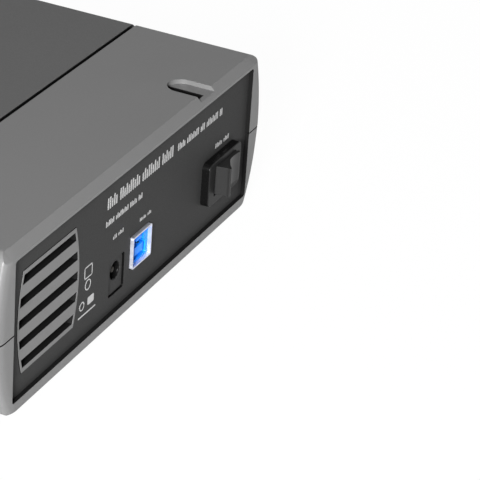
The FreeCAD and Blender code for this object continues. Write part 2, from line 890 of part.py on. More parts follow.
# Outline of the data socket's mouth: a square lower part and a narrower block with
# sloping shoulders above it.
def usb_mouth(y0, y1):
    low = usb_bottom_z + usb_mouth_low
    step = usb_bottom_z + usb_mouth_step
    top = usb_bottom_z + usb_mouth_top
    wide = usb_mouth_width / 2
    narrow = usb_mouth_neck / 2
    slope = step - (wide - narrow)
    points = [
        (-wide, low), (wide, low), (wide, slope), (narrow, step),
        (narrow, top), (-narrow, top), (-narrow, step), (-wide, slope), (-wide, low),
    ]
    face = Part.Face(Part.makePolygon([Vector(usb_x + x, y0, z) for x, z in points]))
    return face.extrude(Vector(0, y1 - y0, 0))


def make_usb_socket():
    y1 = panel_face_y + usb_proud
    y0 = y1 - usb_depth
    half = usb_width / 2
    z0 = usb_bottom_z
    z1 = usb_bottom_z + usb_height
    skin = usb_shell_wall
    x0 = usb_x - half
    x1 = usb_x + half
    outer = rounded_block(x0, x1, y0, y1, z0, z1, 0.7)
    inner = rounded_block(x0 + skin, x1 - skin, y0 + skin, y1 + 1, z0 + skin, z1 - skin, 0.3)
    skirts = [
        box(x, x + skin, y0 + 1, panel_back_y - window_clearance, board_top_z, z0 + 1)
        for x in (x0, x1 - skin)
    ]
    shell = joined([outer] + skirts).cut(inner)
    block = rounded_block(
        x0 + skin, x1 - skin, y0 + skin, y1 - usb_insert_setback, z0 + skin, z1 - skin, 0.3
    )
    floor_y = y1 - usb_cavity_depth
    tongue_y = y1 - usb_insert_setback - 0.6
    block = block.cut(usb_mouth(floor_y, y1 + 1))
    low = z0 + usb_tongue_low
    high = low + usb_tongue_height
    half_tongue = usb_tongue_width / 2
    lower = box(usb_x - half_tongue, usb_x + half_tongue, floor_y - 0.5, tongue_y, low, high)
    upper_z = z0 + usb_upper_low
    half_upper = usb_upper_width / 2
    upper = box(
        usb_x - half_upper, usb_x + half_upper, floor_y - 0.5, tongue_y,
        upper_z, upper_z + usb_upper_height,
    )
    block = joined([block, lower, upper])
    contacts = []
    thick = contact_thickness
    contact_y = tongue_y - 0.8
    for side in (-1, 1):
        for z in (low - thick, high):
            x = usb_x + side * usb_contact_pitch / 2
            contacts.append(box(x - 0.5, x + 0.5, floor_y, contact_y, z, z + thick))
    for i in range(usb_upper_contacts):
        x = usb_x + (i - (usb_upper_contacts - 1) / 2) * usb_upper_pitch
        contacts.append(box(x - 0.2, x + 0.2, floor_y, contact_y, upper_z - thick, upper_z))
    return shell, block, contacts


# Rocker in its own frame: pivot at the origin and two hollow faces in a shallow V. Then it is
# turned to rest, with the half towards the vent standing out.
def make_rocker():
    tall = rocker_height / 2
    middle = (rocker_tip_height + rocker_centre_height) / 2 - rocker_hollow
    face = [
        (rocker_reach, rocker_tip_height), (rocker_reach / 2, middle), (0, rocker_centre_height),
    ]
    flank = [
        (rocker_reach, rocker_tip_height), (rocker_waist, rocker_waist_height),
        (rocker_waist, -rocker_shoulder_depth), (rocker_foot, -rocker_foot_depth),
    ]
    foot = [Vector(side * rocker_foot, -rocker_foot_depth, -tall) for side in (-1, 1)]
    edges = [line(foot[0], foot[1])]
    for side in (1, -1):
        edges.append(arc(*[Vector(side * x, y, -tall) for x, y in face]))
        for a, b in zip(flank, flank[1:]):
            edges.append(line(Vector(side * a[0], a[1], -tall), Vector(side * b[0], b[1], -tall)))
    wire = Part.Wire(Part.__sortEdges__(edges))
    rocker = Part.Face(wire).extrude(Vector(0, 0, rocker_height))

    def on_tip(edge):
        return all(abs(v.Y - rocker_tip_height) < 1e-4 for v in edge.Vertexes)

    rocker = rocker.makeFillet(rocker_tip_radius, [e for e in rocker.Edges if on_tip(e)])
    reach = tall + rocker_clearance + rocker_pin_reach
    pins = rod(rocker_pin_radius, (0, 0, -reach), (0, 0, 1), 2 * reach)
    rocker = joined([rocker, pins])
    rocker.rotate(Vector(0, 0, 0), Vector(0, 0, 1), rocker_tilt)
    rocker.translate(Vector(switch_x, pivot_y, switch_z))
    return rocker


def make_switch_housing():
    half_w = flange_width / 2
    half_h = flange_height / 2
    flange = rounded_block(
        switch_x - half_w, switch_x + half_w, panel_face_y, flange_y,
        flange_z - half_h, flange_z + half_h, flange_corner_radius,
    )
    front = [e for e in flange.Edges if all(abs(v.Y - flange_y) < 1e-4 for v in e.Vertexes)]
    flange = flange.makeFillet(flange_edge_radius, front)
    back = switch_back_y
    low = switch_z - body_half_height
    high = switch_z + body_half_height
    body = box(
        switch_x - body_half_width, switch_x + body_half_width, back, panel_face_y + 0.2, low, high
    )
    latches = []
    for side in (-1, 1):
        x0 = switch_x + side * body_half_width
        latch_y = panel_back_y - 0.1
        z = switch_z - latch_height / 2
        points = [(x0, latch_y), (x0 + side * latch_reach, latch_y), (x0, latch_y - latch_length)]
        corners = [Vector(x, y, z) for x, y in points + points[:1]]
        face = Part.Face(Part.makePolygon(corners))
        latches.append(face.extrude(Vector(0, 0, latch_height)))
    housing = joined([flange, body] + latches)
    half_w = well_width / 2
    half_h = rocker_height / 2 + rocker_clearance
    well = box(
        switch_x - half_w, switch_x + half_w, back + wall, flange_y + 1,
        switch_z - half_h, switch_z + half_h,
    )
    reach = half_h + rocker_pin_reach + 0.1
    radius = rocker_pin_radius + rocker_pin_clearance
    bearing = rod(radius, (switch_x, pivot_y, switch_z - reach), (0, 0, 1), 2 * reach)
    return housing.cut([well, bearing])


def make_switch_terminals():
    back = switch_back_y
    blades = []
    for i in (-1, 0, 1):
        x = switch_x + i * terminal_pitch
        half = terminal_width / 2
        thin = terminal_thickness / 2
        top = switch_z + terminal_thickness
        flat = box(x - half, x + half, terminal_y - thin, back, switch_z, top)
        leg = box(
            x - half, x + half, terminal_y - thin, terminal_y + thin,
            board_bottom_z - terminal_thickness, top,
        )
        blades.append(joined([flat, leg]))
    return blades


def make_fan_frame():
    y1 = fan_back_y
    y0 = y1 - fan_depth
    half = fan_size / 2
    frame = rounded_block(fan_x - half, fan_x + half, y0, y1, fan_z - half, fan_z + half, 3.0)
    frame = frame.cut(rod(fan_bore_radius, (fan_x, y0 - 1, fan_z), (0, 1, 0), fan_depth + 2))
    holes = []
    for sx in (-1, 1):
        for sz in (-1, 1):
            x = fan_x + sx * fan_hole_pitch / 2
            z = fan_z + sz * fan_hole_pitch / 2
            holes.append(rod(fan_hole_radius, (x, y0 - 1, z), (0, 1, 0), fan_depth + 2))
    boss = rod(fan_boss_radius, (fan_x, y0, fan_z), (0, 1, 0), fan_strut_thickness)
    tube = rod(fan_bearing_radius + 1.0, (fan_x, y0, fan_z), (0, 1, 0), fan_depth - 2.6)
    struts = []
    for k in range(4):
        wide = fan_strut_width / 2
        strut = box(0, fan_bore_radius + 0.6, y0, y0 + fan_strut_thickness, -wide, wide)
        strut.rotate(Vector(0, 0, 0), Vector(0, 1, 0), 45 + 90 * k)
        strut.translate(Vector(fan_x, 0, fan_z))
        struts.append(strut)
    frame = joined([frame, boss, tube] + struts)
    bore = rod(fan_bearing_radius, (fan_x, y0 + 0.8, fan_z), (0, 1, 0), fan_depth)
    return frame.cut([bore] + holes)


def make_fan_bearing():
    y0 = fan_back_y - fan_depth + 0.8
    length = fan_depth - 2.6 - 0.8
    sleeve = rod(fan_bearing_radius, (fan_x, y0, fan_z), (0, 1, 0), length)
    radius = fan_shaft_radius + fan_shaft_clearance
    return sleeve.cut(rod(radius, (fan_x, y0 - 1, fan_z), (0, 1, 0), length + 2))


def make_fan_shaft():
    y1 = fan_back_y - 0.5 - fan_hub_wall
    y0 = fan_back_y - fan_depth + 1.2
    return rod(fan_shaft_radius, (fan_x, y0, fan_z), (0, 1, 0), y1 - y0)


# One blade is lofted between a steep root section at the hub and a flatter one at the tip.
def fan_blade(y_mid, depth):
    sections = []
    root = fan_hub_radius - 0.4
    tip = fan_bore_radius - fan_tip_clearance
    steps = 3
    for i in range(steps + 1):
        share = i / steps
        radius = root + (tip - root) * share
        angle = math.radians(fan_blade_twist + 14 * share)
        chord = 10.5 + 1.5 * share
        along = Vector(0, math.cos(angle), math.sin(angle))
        across = Vector(0, -math.sin(angle), math.cos(angle))
        corners = []
        for a, b in ((-0.5, -0.5), (0.5, -0.5), (0.5, 0.5), (-0.5, 0.5), (-0.5, -0.5)):
            corner = Vector(radius, y_mid, 0)
            corner = corner + along * (a * min(chord, depth / math.cos(angle)))
            corner = corner + across * (b * fan_blade_thickness)
            corners.append(corner)
        sections.append(Part.makePolygon(corners))
    return Part.makeLoft(sections, True, True)


def make_fan_rotor():
    y1 = fan_back_y - 0.5
    depth = fan_depth - 1.0 - fan_strut_thickness
    y0 = y1 - depth
    hub = rod(fan_hub_radius, (fan_x, y0, fan_z), (0, 1, 0), depth)
    rim = [e for e in hub.Edges if abs(e.CenterOfMass.y - y1) < 1e-6 and e.Length > 10]
    hub = hub.makeFillet(0.6, rim)
    cavity = rod(fan_hub_radius - fan_hub_wall, (fan_x, y0 - 1, fan_z), (0, 1, 0), depth - fan_hub_wall + 1)
    hub = hub.cut(cavity)
    limit = rod(fan_bore_radius - fan_tip_clearance, (0, y0 + 0.5, 0), (0, 1, 0), depth - 1.0)
    blades = []
    for k in range(fan_blades):
        blade = fan_blade((y0 + y1) / 2, depth - 1.2)
        blade = blade.common(limit)
        blade = blade.cut(rod(fan_hub_radius - fan_hub_wall / 2, (0, y0 - 5, 0), (0, 1, 0), depth + 10))
        blade.rotate(Vector(0, 0, 0), Vector(0, 1, 0), 360.0 / fan_blades * k)
        blade.translate(Vector(fan_x, 0, fan_z))
        blades.append(blade)
    return joined([hub] + blades)


def make_chip(x, y, side, height):
    half = side / 2
    body = box(x - half, x + half, y - half, y + half, board_top_z + 0.15, board_top_z + height)
    edges = [e for e in body.Edges if all(abs(v.Z - board_top_z - height) < 1e-6 for v in e.Vertexes)]
    body = body.makeChamfer(0.2, edges)
    legs = []
    count = int(side / 1.6)
    for i in range(count):
        offset = (i - (count - 1) / 2) * 1.27
        for s in (-1, 1):
            near, far = sorted((s * (half - 0.3), s * (half + 0.9)))
            a = offset - 0.2
            b = offset + 0.2
            z1 = board_top_z + 0.3
            legs.append(box(x + a, x + b, y + near, y + far, board_top_z, z1))
            legs.append(box(x + near, x + far, y + a, y + b, board_top_z, z1))
    return joined([body] + legs)


def board_y(share):
    return panel_back_y - board_setback - board_depth * share


def make_capacitor(x, y):
    can = rod(capacitor_radius, (x, y, board_top_z), (0, 0, 1), capacitor_height)
    top = board_top_z + capacitor_height
    rim = [e for e in can.Edges if abs(e.CenterOfMass.z - top) < 1e-6 and e.Length > 5]
    return can.makeFillet(0.6, rim)


def make_inductor(x, y):
    half = inductor_side / 2
    block = box(x - half, x + half, y - half, y + half, board_top_z, board_top_z + inductor_height)
    upright = [e for e in block.Edges if abs(e.Vertexes[0].Z - e.Vertexes[1].Z) > 1]
    return block.makeFillet(1.2, upright)


def make_sata_socket():
    y1 = panel_back_y - board_setback - board_depth + 6.0
    y0 = y1 - sata_depth
    half = sata_width / 2
    z0 = board_top_z
    body = box(sata_x - half, sata_x + half, y0, y1, z0, z0 + sata_height)
    y2 = y0 + sata_cavity
    z1 = z0 + sata_height
    inner = half - 1.2
    hollow = box(sata_x - inner, sata_x + inner, y0 - 1, y2, z0 + 1.2, z1 - 1.2)
    inner = half - 2.4
    tongue = box(sata_x - inner, sata_x + inner, y0 + 0.6, y2 + 0.5, z0 + 2.4, z0 + 3.6)
    gap = box(sata_x - 4.5, sata_x - 2.3, y0 - 1, y0 + sata_cavity, z0 + 2.0, z0 + 4.0)
    body = joined([body.cut(hollow), tongue]).cut(gap)
    contacts = []
    z1 = z0 + 3.6
    z2 = z1 + contact_thickness
    for first_x, count in ((sata_signal_x, sata_signal_count), (sata_power_x, sata_power_count)):
        for i in range(count):
            x = sata_x + first_x + i * sata_pitch
            contacts.append(box(x - 0.35, x + 0.35, y0 + 1.0, y0 + sata_cavity, z1, z2))
    return body, contacts


def make_feet():
    feet = []
    for x, y in foot_places():
        foot = rod(foot_radius, (x, y, 0), (0, 0, 1), foot_height + foot_recess)
        rim = [e for e in foot.Edges if abs(e.CenterOfMass.z) < 1e-6 and e.Length > 5]
        feet.append(foot.makeFillet(0.7, rim))
    return feet


save("top_cover", make_top_cover())
save("top_inlay", make_top_inlay())
save("bottom_cover", make_bottom_cover())
save("rear_panel", make_rear_panel())
save("vent_grille", make_vent_grille())
save("front_bezel", make_front_bezel())
save("indicator_lens", make_indicator_lens())
save("led_board", make_led_board())
save("drive_tray", make_drive_tray())
save("bridge_board", make_board())
main_chip_x = usb_x - bridge_chip_from_socket
main_chip = make_chip(main_chip_x, board_y(0.5), bridge_chip_side, bridge_chip_height)
save("bridge_chip", main_chip)
small_chips = [
    make_chip(board_left - power_chip_from_end, board_y(0.68), small_chip_side, small_chip_height),
    make_chip(board_right + second_chip_from_end, board_y(0.36), small_chip_side, small_chip_height),
]
save("board_chips", small_chips)
capacitor_x = board_left - capacitor_from_end
capacitor_places = (capacitor_x, capacitor_x + capacitor_pitch)
save("board_capacitors", [make_capacitor(x, board_y(0.64)) for x in capacitor_places])
inductor_x = board_right + inductor_from_end
inductor_places = (inductor_x, inductor_x - inductor_pitch)
save("board_inductors", [make_inductor(x, board_y(0.78)) for x in inductor_places])
dc_body, dc_pin = make_dc_socket()
save("dc_socket_body", dc_body)
save("dc_socket_pin", dc_pin)
usb_shell, usb_block, usb_contact_strips = make_usb_socket()
save("usb_socket_shell", usb_shell)
save("usb_socket_insert", usb_block)
save("usb_contacts", usb_contact_strips)
save("switch_housing", make_switch_housing())
save("switch_rocker", make_rocker())
save("switch_terminals", make_switch_terminals())
sata_body, sata_strips = make_sata_socket()
save("sata_socket", sata_body)
save("sata_contacts", sata_strips)
save("fan_frame", make_fan_frame())
save("fan_bearing", make_fan_bearing())
save("fan_rotor", make_fan_rotor())
save("fan_shaft", make_fan_shaft())
save("rubber_feet", make_feet())
case_seat_z = bottom_z + case_head_depth
case_shank = boss_meet_z + screw_bite - case_seat_z
save("case_screws", [pan_screw(x, y, case_seat_z, case_shank, 1) for x, y in case_screw_places()])
tray_seat_z = bottom_z + tray_head_depth
tray_shank = bay_floor_z - tray_seat_z
save("tray_screws", [pan_screw(x, y, tray_seat_z, tray_shank, 1) for x, y in tray_screw_places()])
board_shank = board_thickness + screw_bite
save("board_screws", [pan_screw(x, y, board_top_z, board_shank, -1) for x, y in board_screw_places()])
print("front", front_y, "rear", rear_y, "pivot", switch_x, pivot_y, switch_z)
print("tray holes", drive_hole_rows(), tray_bottom_z, "fan", fan_x, fan_z, fan_back_y)
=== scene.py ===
# Desktop enclosure for one 5.25 inch drive, seen from its rear corner.
# Metres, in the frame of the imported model: +Z up, +Y out of the rear, +X towards the vent.
import json
import math

import bmesh
import bpy
from mathutils import Matrix, Vector
from mathutils.bvhtree import BVHTree
from mathutils.geometry import convex_hull_2d


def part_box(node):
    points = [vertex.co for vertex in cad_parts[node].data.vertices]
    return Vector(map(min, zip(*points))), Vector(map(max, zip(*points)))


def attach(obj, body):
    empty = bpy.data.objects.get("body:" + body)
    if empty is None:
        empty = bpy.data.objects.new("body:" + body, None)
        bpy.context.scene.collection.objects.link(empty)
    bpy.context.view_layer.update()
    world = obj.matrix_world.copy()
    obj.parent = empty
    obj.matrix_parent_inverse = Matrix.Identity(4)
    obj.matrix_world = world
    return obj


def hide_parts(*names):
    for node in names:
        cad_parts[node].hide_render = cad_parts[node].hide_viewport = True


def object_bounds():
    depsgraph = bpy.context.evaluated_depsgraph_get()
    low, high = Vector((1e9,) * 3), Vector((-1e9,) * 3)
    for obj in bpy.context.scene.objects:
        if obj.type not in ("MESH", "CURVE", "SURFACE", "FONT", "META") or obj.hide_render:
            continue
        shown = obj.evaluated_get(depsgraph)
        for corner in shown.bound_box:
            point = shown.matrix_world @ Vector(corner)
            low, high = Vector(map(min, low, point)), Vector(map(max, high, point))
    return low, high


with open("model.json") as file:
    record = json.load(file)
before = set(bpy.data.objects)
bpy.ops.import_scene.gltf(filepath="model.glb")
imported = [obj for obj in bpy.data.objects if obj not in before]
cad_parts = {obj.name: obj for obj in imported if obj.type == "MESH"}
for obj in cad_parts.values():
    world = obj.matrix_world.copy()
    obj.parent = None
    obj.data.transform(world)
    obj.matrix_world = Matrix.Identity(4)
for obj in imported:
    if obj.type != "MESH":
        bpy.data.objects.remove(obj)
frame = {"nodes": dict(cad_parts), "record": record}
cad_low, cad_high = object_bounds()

MM = 0.001

bodies = frame["record"]["behaviour"]["bodies"]
body_of_node = {node: body for body, members in bodies.items() for node in members}

# Planes that the pieces below are set against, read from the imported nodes. The switch's flange
# stands out of the rear panel's face.
FLANGE_PROUD = 2.8 * MM
PANEL_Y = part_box("switch_housing")[1].y - FLANGE_PROUD
SHELL_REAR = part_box("bottom_cover")[1].y


# Small tools

MERGE_WITHIN = 0.002 * MM


def alone(piece):
    """Only this piece is selected and active."""
    bpy.ops.object.select_all(action="DESELECT")
    piece.select_set(True)
    bpy.context.view_layer.objects.active = piece


def settle(piece):
    """The piece's place goes into its mesh, and its object to the origin."""
    alone(piece)
    bpy.ops.object.transform_apply(location=True, rotation=True, scale=True)
    return piece


def join(pieces, name):
    """Makes one piece of several."""
    bpy.ops.object.select_all(action="DESELECT")
    for piece in pieces:
        piece.select_set(True)
    bpy.context.view_layer.objects.active = pieces[0]
    bpy.ops.object.join()
    made = bpy.context.view_layer.objects.active
    made.name = name
    made.data.name = name
    return settle(made)


def apply_modifier(piece, kind, **settings):
    """Adds a modifier with these settings and applies it."""
    alone(piece)
    bpy.ops.object.modifier_add(type=kind)
    modifier = piece.modifiers[-1]
    for key, value in settings.items():
        setattr(modifier, key, value)
    bpy.ops.object.modifier_apply(modifier=modifier.name)


def outward(piece):
    """Merges doubled vertices and turns every face outwards."""
    alone(piece)
    bpy.ops.object.mode_set(mode="EDIT")
    bpy.ops.mesh.select_all(action="SELECT")
    bpy.ops.mesh.remove_doubles(threshold=MERGE_WITHIN)
    bpy.ops.mesh.normals_make_consistent(inside=False)
    bpy.ops.object.mode_set(mode="OBJECT")
    return piece


def dress(piece, material, body, slot, *nodes):
    """Gives a finished piece its material and the body it rides on, and hides the nodes it stands
    for.
    """
    piece.data.materials.clear()
    piece.data.materials.append(material)
    if nodes:
        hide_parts(*nodes)
    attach(piece, body)
    return piece


# Materials

# Noise keeps almost wholly between these values, so roughness is mapped from them.
NOISE_ENDS = (0.3, 0.7)
DRIFT_MM = 28.0
DRIFT_DETAIL = 3.0
GRAIN_DETAIL = 2.0
GRAIN_BUMP = 0.6
# How far the grain takes a plastic's roughness down and up, and the lines a metal's.
GRAIN_DULL = (0.05, 0.05)
LINE_DULL = (0.06, 0.08)
LINE_DETAIL = 4.0
LINE_BUMP = 0.5
PLASTIC_IOR = 1.53

# Solder mask over tracks. The tracks run at 45 degrees, as bands of the distance from a cell's
# middle, which is measured in cells.
TRACK_CELL_MM = 3.2
TRACK_BAND = 0.085
TRACK_EDGE = 0.05
TRACK_HEIGHT_MM = 0.03
TRACK_BUMP = 0.5
MASK_GREEN = "#0c4a24"
TRACK_GREEN = "#1a6b38"
MASK_ROUGHNESS = 0.32
MASK_IOR = 1.5
MASK_COAT = 0.3

# The front light's acrylic.
FROST_MM = 0.2
FROST_DEPTH_MM = 0.01
FROST_BUMP = 0.3
FROST_ROUGHNESS = (0.15, 0.3)
ACRYLIC_TINT = "#dfe8f2"
ACRYLIC_CLEARNESS = 0.85
ACRYLIC_IOR = 1.49

# How a metal's noise is drawn out along X, Y and Z: a smaller number makes longer lines.
EVEN = (1.0, 1.0, 1.0)
DRAWN_UP = (1.0, 1.0, 0.1)
ROLLED = (1.0, 0.05, 1.0)
DRAWN = (1.0, 0.1, 1.0)
STAMPED = (1.0, 0.2, 1.0)


def srgb(code):
    """Linear colour of an sRGB hex value."""
    linear = []
    for i in (1, 3, 5):
        value = int(code[i:i + 2], 16) / 255
        linear.append(value / 12.92 if value <= 0.04045 else ((value + 0.055) / 1.055) ** 2.4)
    return (*linear, 1.0)


def shade(code, share):
    """The same colour at a share of its brightness."""
    return tuple(min(c * share, 1.0) for c in srgb(code)[:3]) + (1.0,)


def add(tree, kind, settings=(), links=()):
    """Adds a node. Both are (key, value) pairs: a setting's key is a property or a socket, and a
    link's key is the socket that the other node's output goes to."""
    made = tree.nodes.new(kind)
    for key, value in settings:
        if isinstance(key, str) and hasattr(made, key):
            setattr(made, key, value)
        else:
            made.inputs[key].default_value = value
    for key, output in links:
        tree.links.new(output, made.inputs[key])
    return made


def start(name):
    """A material with a shader, its output and the piece's own coordinates."""
    material = bpy.data.materials.new(name)
    material.use_nodes = True
    tree = material.node_tree
    tree.nodes.clear()
    shader = add(tree, "ShaderNodeBsdfPrincipled")
    add(tree, "ShaderNodeOutputMaterial", (), [("Surface", shader.outputs["BSDF"])])
    place = add(tree, "ShaderNodeTexCoord").outputs["Object"]
    return material, tree, shader, place


def relief(tree, shader, texture, roughness, strength, height_mm):
    """One texture drives the roughness, between these two values, and a bump of this height."""
    dull = add(
        tree, "ShaderNodeMapRange",
        [
            ("From Min", NOISE_ENDS[0]), ("From Max", NOISE_ENDS[1]),
            ("To Min", roughness[0]), ("To Max", roughness[1]),
        ],
        [("Value", texture)],
    ).outputs["Result"]
    bump = add(
        tree, "ShaderNodeBump", [("Strength", strength), ("Distance", height_mm * MM)],
        [("Height", texture)],
    ).outputs["Normal"]
    tree.links.new(dull, shader.inputs["Roughness"])
    tree.links.new(bump, shader.inputs["Normal"])


def moulded(name, code, roughness, grain_mm, depth_mm, tone, metallic=0.0, specular=0.4):
    """Moulded or painted plastic. Its colour drifts by the tone over some centimetres, as filler
    and spray do, and its fine grain breaks up the highlight. The grain is a bump, because it is
    far finer than the mesh."""
    material, tree, shader, place = start(name)
    drift = add(
        tree, "ShaderNodeTexNoise", [("Scale", 1 / (DRIFT_MM * MM)), ("Detail", DRIFT_DETAIL)],
        [("Vector", place)],
    ).outputs["Fac"]
    grain = add(
        tree, "ShaderNodeTexNoise", [("Scale", 1 / (grain_mm * MM)), ("Detail", GRAIN_DETAIL)],
        [("Vector", place)],
    ).outputs["Fac"]
    colour = add(
        tree, "ShaderNodeMix",
        [("data_type", "RGBA"), (6, shade(code, 1 - tone)), (7, shade(code, 1 + tone))],
        [(0, drift)],
    ).outputs[2]
    tree.links.new(colour, shader.inputs["Base Color"])
    ends = (roughness - GRAIN_DULL[0], roughness + GRAIN_DULL[1])
    relief(tree, shader, grain, ends, GRAIN_BUMP, depth_mm)
    shader.inputs["Metallic"].default_value = metallic
    shader.inputs["IOR"].default_value = PLASTIC_IOR
    shader.inputs["Specular IOR Level"].default_value = specular
    return material


def metal(name, code, roughness, stretch, line_mm, depth_mm=0.004, tone=0.08):
    """Bare or plated metal. A stretched noise gives the lines that drawing or rolling leaves."""
    material, tree, shader, place = start(name)
    turned = add(
        tree, "ShaderNodeMapping", [("Scale", stretch)], [("Vector", place)]
    ).outputs["Vector"]
    lines = add(
        tree, "ShaderNodeTexNoise", [("Scale", 1 / (line_mm * MM)), ("Detail", LINE_DETAIL)],
        [("Vector", turned)],
    ).outputs["Fac"]
    colour = add(
        tree, "ShaderNodeMix",
        [("data_type", "RGBA"), (6, shade(code, 1 - tone)), (7, shade(code, 1 + tone))],
        [(0, lines)],
    ).outputs[2]
    tree.links.new(colour, shader.inputs["Base Color"])
    ends = (roughness - LINE_DULL[0], roughness + LINE_DULL[1])
    relief(tree, shader, lines, ends, LINE_BUMP, depth_mm)
    shader.inputs["Metallic"].default_value = 1.0
    return material


def circuit_board(name):
    """Glass-epoxy board under green solder mask. Copper tracks show through it as paler lines."""
    material, tree, shader, place = start(name)
    turned = add(
        tree, "ShaderNodeMapping", [("Rotation", (0, 0, math.radians(45)))], [("Vector", place)]
    ).outputs["Vector"]
    cells = add(
        tree, "ShaderNodeTexVoronoi",
        [("distance", "MANHATTAN"), ("feature", "F1"), ("Scale", 1 / (TRACK_CELL_MM * MM))],
        [("Vector", turned)],
    ).outputs["Distance"]
    bands = add(
        tree, "ShaderNodeMath", [("operation", "PINGPONG"), (1, TRACK_BAND)], [(0, cells)]
    ).outputs[0]
    track = add(
        tree, "ShaderNodeMath", [("operation", "GREATER_THAN"), (1, TRACK_EDGE)], [(0, bands)]
    ).outputs[0]
    colour = add(
        tree, "ShaderNodeMix",
        [("data_type", "RGBA"), (6, srgb(MASK_GREEN)), (7, srgb(TRACK_GREEN))], [(0, track)],
    ).outputs[2]
    bump = add(
        tree, "ShaderNodeBump", [("Strength", TRACK_BUMP), ("Distance", TRACK_HEIGHT_MM * MM)],
        [("Height", track)],
    ).outputs["Normal"]
    tree.links.new(colour, shader.inputs["Base Color"])
    tree.links.new(bump, shader.inputs["Normal"])
    shader.inputs["Roughness"].default_value = MASK_ROUGHNESS
    shader.inputs["IOR"].default_value = MASK_IOR
    shader.inputs["Coat Weight"].default_value = MASK_COAT
    return material


def light_pipe(name):
    """Clear acrylic with a frosted face."""
    material, tree, shader, place = start(name)
    frost = add(
        tree, "ShaderNodeTexNoise", [("Scale", 1 / (FROST_MM * MM)), ("Detail", GRAIN_DETAIL)],
        [("Vector", place)],
    ).outputs["Fac"]
    relief(tree, shader, frost, FROST_ROUGHNESS, FROST_BUMP, FROST_DEPTH_MM)
    shader.inputs["Base Color"].default_value = srgb(ACRYLIC_TINT)
    shader.inputs["Transmission Weight"].default_value = ACRYLIC_CLEARNESS
    shader.inputs["IOR"].default_value = ACRYLIC_IOR
    return material


finishes = {
    # Sprayed ABS with fine aluminium flake: it looks lighter where a lamp faces it than where
    # it is seen at a slant, and its rounded edges carry a soft bright line.
    "shell_grey": moulded(
        "sprayed_abs_silver_grey", "#6b6b6b", 0.42, grain_mm=0.28, depth_mm=0.008, tone=0.03,
        metallic=0.2, specular=0.12,
    ),
    # ABS from a finely textured tool, unpainted: even and a little dull.
    "inlay_dark": moulded(
        "textured_abs_dark_grey", "#4e4e4e", 0.48, grain_mm=0.45, depth_mm=0.012, tone=0.04,
        specular=0.18,
    ),
    # The same, nearly black, and duller, which keeps it dark also at a slant.
    "panel_black": moulded(
        "textured_abs_charcoal", "#2f2f2f", 0.62, grain_mm=0.4, depth_mm=0.014, tone=0.05,
        specular=0.08,
    ),
    # A slightly darker coat of the shell's paint: flat grey bars against black slots.
    "grille_grey": moulded(
        "sprayed_abs_vent_grey", "#656565", 0.4, grain_mm=0.3, depth_mm=0.008, tone=0.03,
        metallic=0.18, specular=0.2,
    ),
    # Textured ABS of the front frame: dark grey with a faint sheen on its edges.
    "bezel_dark": moulded(
        "textured_abs_bezel", "#3f3f41", 0.45, grain_mm=0.4, depth_mm=0.014, tone=0.05,
    ),
    # The front light shows as a small clear block, frosted so that what is behind it blurs.
    "light_pipe": light_pipe("clear_acrylic"),
    # Green and glossy, with paler lines where copper runs.
    "board_green": circuit_board("solder_mask_green"),
    # Moulded epoxy round a chip: matt, almost black.
    "chip_black": moulded(
        "moulded_epoxy_black", "#232325", 0.55, grain_mm=0.2, depth_mm=0.006, tone=0.06,
    ),
    # Drawn cans: bright, with fine upright lines.
    "capacitor_can": metal("drawn_aluminium", "#c9cacc", 0.28, DRAWN_UP, 0.4),
    # Pressed iron powder: dark and granular, with hardly any highlight.
    "inductor_grey": moulded(
        "pressed_ferrite", "#3b3b3d", 0.7, grain_mm=0.25, depth_mm=0.03, tone=0.1,
    ),
    # Sheet steel under zinc: cool grey, with the mill's lines along the depth.
    "tray_steel": metal("zinc_plated_sheet_steel", "#b4b6b9", 0.34, ROLLED, 0.35, 0.003),
    # Nylon of the sockets: black with a small clear highlight.
    "socket_black": moulded(
        "moulded_nylon_black", "#161617", 0.35, grain_mm=0.3, depth_mm=0.006, tone=0.05,
    ),
    # Satin nickel: nearly white all round the blue block.
    "socket_shell": metal("nickel_plated_steel", "#d0d2dc", 0.55, DRAWN, 0.8, 0.001, 0.02),
    # Nylon coloured through: a strong, even blue.
    "socket_blue": moulded(
        "moulded_nylon_blue", "#1580f0", 0.42, grain_mm=0.3, depth_mm=0.004, tone=0.04,
        specular=0.2,
    ),
    # Thin gold over nickel: warm, bright strips.
    "contact_gold": metal("gold_flashed_contact", "#e0b35a", 0.25, STAMPED, 0.3, 0.001),
    # Nylon frame of the switch: black, with a soft highlight only.
    "switch_black": moulded(
        "satin_nylon_frame_black", "#1a1a1a", 0.45, grain_mm=0.35, depth_mm=0.005, tone=0.05,
        specular=0.12,
    ),
    # The rocker is smoother, so its raised half turns grey where it faces the light.
    "rocker_black": moulded(
        "satin_nylon_rocker_black", "#1f1f1f", 0.33, grain_mm=0.3, depth_mm=0.006, tone=0.05,
        specular=0.25,
    ),
    # Tinned brass legs: pale, yellowish metal.
    "terminal_brass": metal("tinned_brass", "#cfc08f", 0.32, DRAWN_UP, 0.3),
    # Glass-filled plastic, matt black; its near-black also serves as painted shade behind the
    # vent's slots.
    "fan_black": moulded(
        "glass_filled_black_and_shade", "#0e0e0f", 0.6, grain_mm=0.3, depth_mm=0.012, tone=0.06,
        specular=0.1,
    ),
    # Porous sintered bronze: brown and dull for a metal.
    "bearing_bronze": metal("sintered_bronze", "#a57c43", 0.45, EVEN, 0.2, 0.01),
    # Ground steel: a sharp, bright line along the shaft.
    "shaft_steel": metal("ground_steel", "#c4c6c9", 0.18, ROLLED, 0.2, 0.001),
    # Rubber: black and dead matt.
    "foot_rubber": moulded(
        "moulded_rubber_black", "#1c1c1c", 0.75, grain_mm=0.4, depth_mm=0.02, tone=0.08,
    ),
    # Zinc on screws: cool grey with small bright edges.
    "screw_steel": metal("zinc_plated_screw_steel", "#b9bbbf", 0.3, EVEN, 0.3, 0.003),
}
